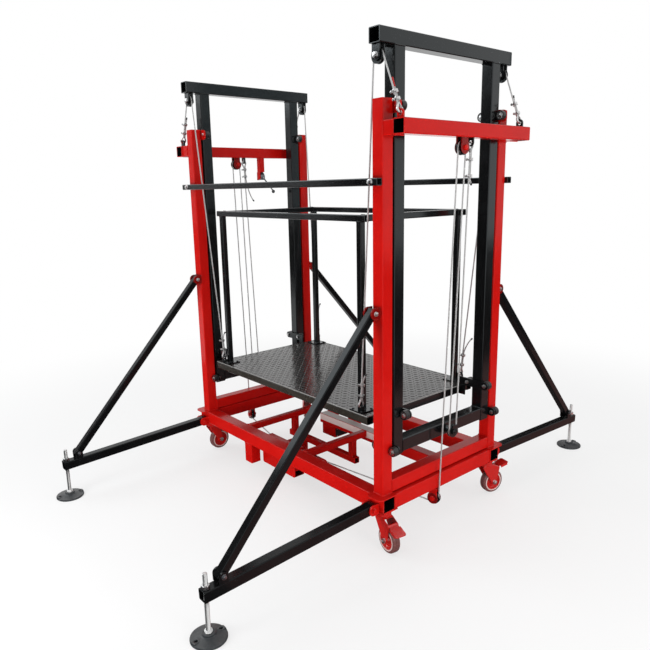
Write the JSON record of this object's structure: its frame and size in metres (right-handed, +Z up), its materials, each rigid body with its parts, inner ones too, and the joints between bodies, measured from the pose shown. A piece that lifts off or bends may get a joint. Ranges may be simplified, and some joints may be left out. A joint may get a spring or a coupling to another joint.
{
  "type": "electric scaffold lift",
  "caption": "Wheeled electric scaffold lift: rope-driven telescopic masts raise a guarded chequer-plate deck over a tubular base with a winch and braced outriggers on screw feet.",
  "frame": {"origin": "on the floor under the centre of the lift", "axes": "+Z up, +X along the deck towards the right mast, -Y towards the front (winch) side"},
  "size_m": [1.512, 2.278, 1.85],
  "materials": {
    "red_powder_coat": "glossy red powder coat",
    "black_powder_coat": "semi-gloss black powder coat",
    "deck_black": "glossy black chequer plate",
    "zinc_steel": "zinc plated",
    "wire_rope": "galvanised wire strands",
    "black_nylon": "turned nylon",
    "grey_tyre": "grey rubber tread on a red hub"
  },
  "bodies": {
    "base": {"base_frame": "red_powder_coat", "left_mast_frame": "red_powder_coat", "right_mast_frame": "red_powder_coat", "tie_rails": "black_powder_coat", "outriggers": "black_powder_coat", "frame_fittings": "zinc_steel", "winch_housing": "red_powder_coat", "control_box": "red_powder_coat", "limit_switch": "black_nylon", "hoist_rope_runs": "wire_rope", "hoist_rope_falls": "wire_rope", "anchor_ropes": "wire_rope", "drum_rope": "wire_rope"},
    "platform": {"deck_plate": "deck_black", "deck_frame": "black_powder_coat", "guard_frame": "black_powder_coat", "platform_fittings": "zinc_steel", "platform_ropes": "wire_rope"},
    "winch_drum": {"winch_drum": "zinc_steel"},
    "limit_lever": {"limit_lever": "black_nylon"},
    "left_mast": {"left_inner_mast": "black_powder_coat", "left_mast_fittings": "zinc_steel", "left_rope_arcs": "wire_rope"},
    "right_mast": {"right_inner_mast": "black_powder_coat", "right_mast_fittings": "zinc_steel", "right_rope_arcs": "wire_rope"},
    "left_top_sheaves": {"left_top_sheaves": "zinc_steel"},
    "left_crossbeam_sheave": {"left_crossbeam_sheave": "zinc_steel"},
    "left_lower_sheave": {"left_lower_sheave": "zinc_steel"},
    "left_base_sheave": {"left_base_sheave": "zinc_steel"},
    "left_guide_rollers_outer": {"left_guide_rollers_outer": "black_nylon"},
    "left_foot_rollers_outer": {"left_foot_rollers_outer": "black_nylon"},
    "left_deck_rollers_outer": {"left_deck_rollers_outer": "black_nylon"},
    "left_guide_rollers_inner": {"left_guide_rollers_inner": "black_nylon"},
    "left_foot_rollers_inner": {"left_foot_rollers_inner": "black_nylon"},
    "left_deck_rollers_inner": {"left_deck_rollers_inner": "black_nylon"},
    "right_top_sheaves": {"right_top_sheaves": "zinc_steel"},
    "right_crossbeam_sheave": {"right_crossbeam_sheave": "zinc_steel"},
    "right_lower_sheave": {"right_lower_sheave": "zinc_steel"},
    "right_base_sheave": {"right_base_sheave": "zinc_steel"},
    "right_guide_rollers_outer": {"right_guide_rollers_outer": "black_nylon"},
    "right_foot_rollers_outer": {"right_foot_rollers_outer": "black_nylon"},
    "right_deck_rollers_outer": {"right_deck_rollers_outer": "black_nylon"},
    "right_guide_rollers_inner": {"right_guide_rollers_inner": "black_nylon"},
    "right_foot_rollers_inner": {"right_foot_rollers_inner": "black_nylon"},
    "right_deck_rollers_inner": {"right_deck_rollers_inner": "black_nylon"},
    "front_right_caster_fork": {"front_right_caster_fork": "red_powder_coat"},
    "front_right_caster_wheel": {"front_right_caster_wheel": "grey_tyre"},
    "front_right_caster_pedal": {"front_right_caster_pedal": "red_powder_coat"},
    "front_right_levelling_foot": {"front_right_levelling_foot": "zinc_steel"},
    "rear_right_caster_fork": {"rear_right_caster_fork": "red_powder_coat"},
    "rear_right_caster_wheel": {"rear_right_caster_wheel": "grey_tyre"},
    "rear_right_caster_pedal": {"rear_right_caster_pedal": "red_powder_coat"},
    "rear_right_levelling_foot": {"rear_right_levelling_foot": "zinc_steel"},
    "front_left_caster_fork": {"front_left_caster_fork": "red_powder_coat"},
    "front_left_caster_wheel": {"front_left_caster_wheel": "grey_tyre"},
    "front_left_levelling_foot": {"front_left_levelling_foot": "zinc_steel"},
    "rear_left_caster_fork": {"rear_left_caster_fork": "red_powder_coat"},
    "rear_left_caster_wheel": {"rear_left_caster_wheel": "grey_tyre"},
    "rear_left_levelling_foot": {"rear_left_levelling_foot": "zinc_steel"}
  },
  "joints": [
    {"name": "platform_lift", "type": "slide", "parent": "base", "child": "platform", "axis": [0, 0, 1], "range_m": [0, 1.8], "deforming": ["hoist_rope_falls", "anchor_ropes", "platform_ropes"]},
    {"name": "left_mast_lift", "type": "slide", "parent": "base", "child": "left_mast", "axis": [0, 0, 1], "range_m": [0, 0.9]},
    {"name": "right_mast_lift", "type": "slide", "parent": "base", "child": "right_mast", "axis": [0, 0, 1], "range_m": [0, 0.9]},
    {"name": "winch_drum_spin", "type": "hinge", "parent": "base", "child": "winch_drum", "pos_m": [-0.072, -0.208, 0.115], "axis": [0, 1, 0], "range_deg": [-3440, 0]},
    {"name": "left_top_sheaves_spin", "type": "hinge", "parent": "left_mast", "child": "left_top_sheaves", "pos_m": [-0.627, 0, 1.765], "axis": [0, 1, 0], "range_deg": [-2458, 0]},
    {"name": "left_crossbeam_sheave_spin", "type": "hinge", "parent": "base", "child": "left_crossbeam_sheave", "pos_m": [-0.731, -0.03, 1.48], "axis": [1, 0, 0], "range_deg": [0, 4914]},
    {"name": "left_lower_sheave_spin", "type": "hinge", "parent": "left_mast", "child": "left_lower_sheave", "pos_m": [-0.69, 0.009, 0.4], "axis": [1, 0, 0], "range_deg": [-2458, 0]},
    {"name": "left_base_sheave_spin", "type": "hinge", "parent": "base", "child": "left_base_sheave", "pos_m": [-0.65552, -0.05565, 0.122], "axis": [0.2212, 0.9752, 0], "range_deg": [-4914, 0]},
    {"name": "left_guide_rollers_outer_spin", "type": "hinge", "parent": "base", "child": "left_guide_rollers_outer", "pos_m": [-0.6745, 0, 1.61], "axis": [0, 1, 0], "range_deg": [-2867, 0]},
    {"name": "left_foot_rollers_outer_spin", "type": "hinge", "parent": "left_mast", "child": "left_foot_rollers_outer", "pos_m": [-0.6745, 0, 0.401], "axis": [0, 1, 0], "range_deg": [0, 2867]},
    {"name": "left_deck_rollers_outer_spin", "type": "hinge", "parent": "platform", "child": "left_deck_rollers_outer", "pos_m": [-0.6745, 0, 0.528], "axis": [0, 1, 0], "range_deg": [0, 2867]},
    {"name": "left_guide_rollers_inner_spin", "type": "hinge", "parent": "base", "child": "left_guide_rollers_inner", "pos_m": [-0.5875, 0, 1.61], "axis": [0, 1, 0], "range_deg": [0, 2867]},
    {"name": "left_foot_rollers_inner_spin", "type": "hinge", "parent": "left_mast", "child": "left_foot_rollers_inner", "pos_m": [-0.5875, 0, 0.401], "axis": [0, 1, 0], "range_deg": [-2867, 0]},
    {"name": "left_deck_rollers_inner_spin", "type": "hinge", "parent": "platform", "child": "left_deck_rollers_inner", "pos_m": [-0.5875, 0, 0.528], "axis": [0, 1, 0], "range_deg": [-2867, 0]},
    {"name": "right_top_sheaves_spin", "type": "hinge", "parent": "right_mast", "child": "right_top_sheaves", "pos_m": [0.627, 0, 1.765], "axis": [0, 1, 0], "range_deg": [0, 2458]},
    {"name": "right_crossbeam_sheave_spin", "type": "hinge", "parent": "base", "child": "right_crossbeam_sheave", "pos_m": [0.731, -0.03, 1.48], "axis": [1, 0, 0], "range_deg": [0, 4914]},
    {"name": "right_lower_sheave_spin", "type": "hinge", "parent": "right_mast", "child": "right_lower_sheave", "pos_m": [0.69, 0.009, 0.4], "axis": [1, 0, 0], "range_deg": [-2458, 0]},
    {"name": "right_base_sheave_spin", "type": "hinge", "parent": "base", "child": "right_base_sheave", "pos_m": [0.65549, -0.05552, 0.122], "axis": [0.2154, -0.9765, 0], "range_deg": [-4914, 0]},
    {"name": "right_guide_rollers_outer_spin", "type": "hinge", "parent": "base", "child": "right_guide_rollers_outer", "pos_m": [0.6745, 0, 1.61], "axis": [0, 1, 0], "range_deg": [0, 2867]},
    {"name": "right_foot_rollers_outer_spin", "type": "hinge", "parent": "right_mast", "child": "right_foot_rollers_outer", "pos_m": [0.6745, 0, 0.401], "axis": [0, 1, 0], "range_deg": [-2867, 0]},
    {"name": "right_deck_rollers_outer_spin", "type": "hinge", "parent": "platform", "child": "right_deck_rollers_outer", "pos_m": [0.6745, 0, 0.528], "axis": [0, 1, 0], "range_deg": [-2867, 0]},
    {"name": "right_guide_rollers_inner_spin", "type": "hinge", "parent": "base", "child": "right_guide_rollers_inner", "pos_m": [0.5875, 0, 1.61], "axis": [0, 1, 0], "range_deg": [-2867, 0]},
    {"name": "right_foot_rollers_inner_spin", "type": "hinge", "parent": "right_mast", "child": "right_foot_rollers_inner", "pos_m": [0.5875, 0, 0.401], "axis": [0, 1, 0], "range_deg": [0, 2867]},
    {"name": "right_deck_rollers_inner_spin", "type": "hinge", "parent": "platform", "child": "right_deck_rollers_inner", "pos_m": [0.5875, 0, 0.528], "axis": [0, 1, 0], "range_deg": [0, 2867]},
    {"name": "front_right_caster_swivel", "type": "hinge", "parent": "base", "child": "front_right_caster_fork", "pos_m": [0.632, -0.322, 0.15], "axis": [0, 0, 1], "continuous": true},
    {"name": "front_right_caster_roll", "type": "hinge", "parent": "front_right_caster_fork", "child": "front_right_caster_wheel", "pos_m": [0.66844, -0.32843, 0.052], "axis": [0.1736, 0.9848, 0], "continuous": true},
    {"name": "front_right_brake_pedal", "type": "hinge", "parent": "front_right_caster_fork", "child": "front_right_caster_pedal", "pos_m": [0.68813, -0.3319, 0.116], "axis": [0.1736, 0.9848, 0], "range_deg": [-34, 0]},
    {"name": "front_right_foot_screw", "type": "slide", "parent": "base", "child": "front_right_levelling_foot", "axis": [0, 0, 1], "range_m": [-0.03, 0.07]},
    {"name": "rear_right_caster_swivel", "type": "hinge", "parent": "base", "child": "rear_right_caster_fork", "pos_m": [0.632, 0.322, 0.15], "axis": [0, 0, 1], "continuous": true},
    {"name": "rear_right_caster_roll", "type": "hinge", "parent": "rear_right_caster_fork", "child": "rear_right_caster_wheel", "pos_m": [0.64158, 0.35774, 0.052], "axis": [-0.9659, 0.2588, 0], "continuous": true},
    {"name": "rear_right_brake_pedal", "type": "hinge", "parent": "rear_right_caster_fork", "child": "rear_right_caster_pedal", "pos_m": [0.64675, 0.37706, 0.116], "axis": [-0.9659, 0.2588, 0], "range_deg": [0, 34]},
    {"name": "rear_right_foot_screw", "type": "slide", "parent": "base", "child": "rear_right_levelling_foot", "axis": [0, 0, 1], "range_m": [-0.03, 0.07]},
    {"name": "front_left_caster_swivel", "type": "hinge", "parent": "base", "child": "front_left_caster_fork", "pos_m": [-0.632, -0.322, 0.15], "axis": [0, 0, 1], "continuous": true},
    {"name": "front_left_caster_roll", "type": "hinge", "parent": "front_left_caster_fork", "child": "front_left_caster_wheel", "pos_m": [-0.632, -0.285, 0.052], "axis": [-1, 0, 0], "continuous": true},
    {"name": "front_left_foot_screw", "type": "slide", "parent": "base", "child": "front_left_levelling_foot", "axis": [0, 0, 1], "range_m": [-0.03, 0.07]},
    {"name": "rear_left_caster_swivel", "type": "hinge", "parent": "base", "child": "rear_left_caster_fork", "pos_m": [-0.632, 0.322, 0.15], "axis": [0, 0, 1], "continuous": true},
    {"name": "rear_left_caster_roll", "type": "hinge", "parent": "rear_left_caster_fork", "child": "rear_left_caster_wheel", "pos_m": [-0.66404, 0.3405, 0.052], "axis": [-0.5, -0.866, 0], "continuous": true},
    {"name": "rear_left_foot_screw", "type": "slide", "parent": "base", "child": "rear_left_levelling_foot", "axis": [0, 0, 1], "range_m": [-0.03, 0.07]},
    {"name": "limit_lever_swing", "type": "hinge", "parent": "base", "child": "limit_lever", "pos_m": [-0.702, 0.119, 1.412], "axis": [1, 0, 0], "range_deg": [0, 25], "stiffness_Nm_per_rad": 0.3}
  ],
  "couplings": [
    {"joint": "left_mast_lift", "follows": "platform_lift", "ratio": 0.5},
    {"joint": "right_mast_lift", "follows": "platform_lift", "ratio": 0.5},
    {"joint": "winch_drum_spin", "follows": "platform_lift", "rad_per_m": -33.333},
    {"joint": "left_top_sheaves_spin", "follows": "platform_lift", "rad_per_m": -23.81},
    {"joint": "left_crossbeam_sheave_spin", "follows": "platform_lift", "rad_per_m": 47.619},
    {"joint": "left_lower_sheave_spin", "follows": "platform_lift", "rad_per_m": -23.81},
    {"joint": "left_base_sheave_spin", "follows": "platform_lift", "rad_per_m": -47.619},
    {"joint": "left_guide_rollers_outer_spin", "follows": "platform_lift", "rad_per_m": -27.778},
    {"joint": "left_foot_rollers_outer_spin", "follows": "platform_lift", "rad_per_m": 27.778},
    {"joint": "left_deck_rollers_outer_spin", "follows": "platform_lift", "rad_per_m": 27.778},
    {"joint": "left_guide_rollers_inner_spin", "follows": "platform_lift", "rad_per_m": 27.778},
    {"joint": "left_foot_rollers_inner_spin", "follows": "platform_lift", "rad_per_m": -27.778},
    {"joint": "left_deck_rollers_inner_spin", "follows": "platform_lift", "rad_per_m": -27.778},
    {"joint": "right_top_sheaves_spin", "follows": "platform_lift", "rad_per_m": 23.81},
    {"joint": "right_crossbeam_sheave_spin", "follows": "platform_lift", "rad_per_m": 47.619},
    {"joint": "right_lower_sheave_spin", "follows": "platform_lift", "rad_per_m": -23.81},
    {"joint": "right_base_sheave_spin", "follows": "platform_lift", "rad_per_m": -47.619},
    {"joint": "right_guide_rollers_outer_spin", "follows": "platform_lift", "rad_per_m": 27.778},
    {"joint": "right_foot_rollers_outer_spin", "follows": "platform_lift", "rad_per_m": -27.778},
    {"joint": "right_deck_rollers_outer_spin", "follows": "platform_lift", "rad_per_m": -27.778},
    {"joint": "right_guide_rollers_inner_spin", "follows": "platform_lift", "rad_per_m": -27.778},
    {"joint": "right_foot_rollers_inner_spin", "follows": "platform_lift", "rad_per_m": 27.778},
    {"joint": "right_deck_rollers_inner_spin", "follows": "platform_lift", "rad_per_m": 27.778}
  ]
}
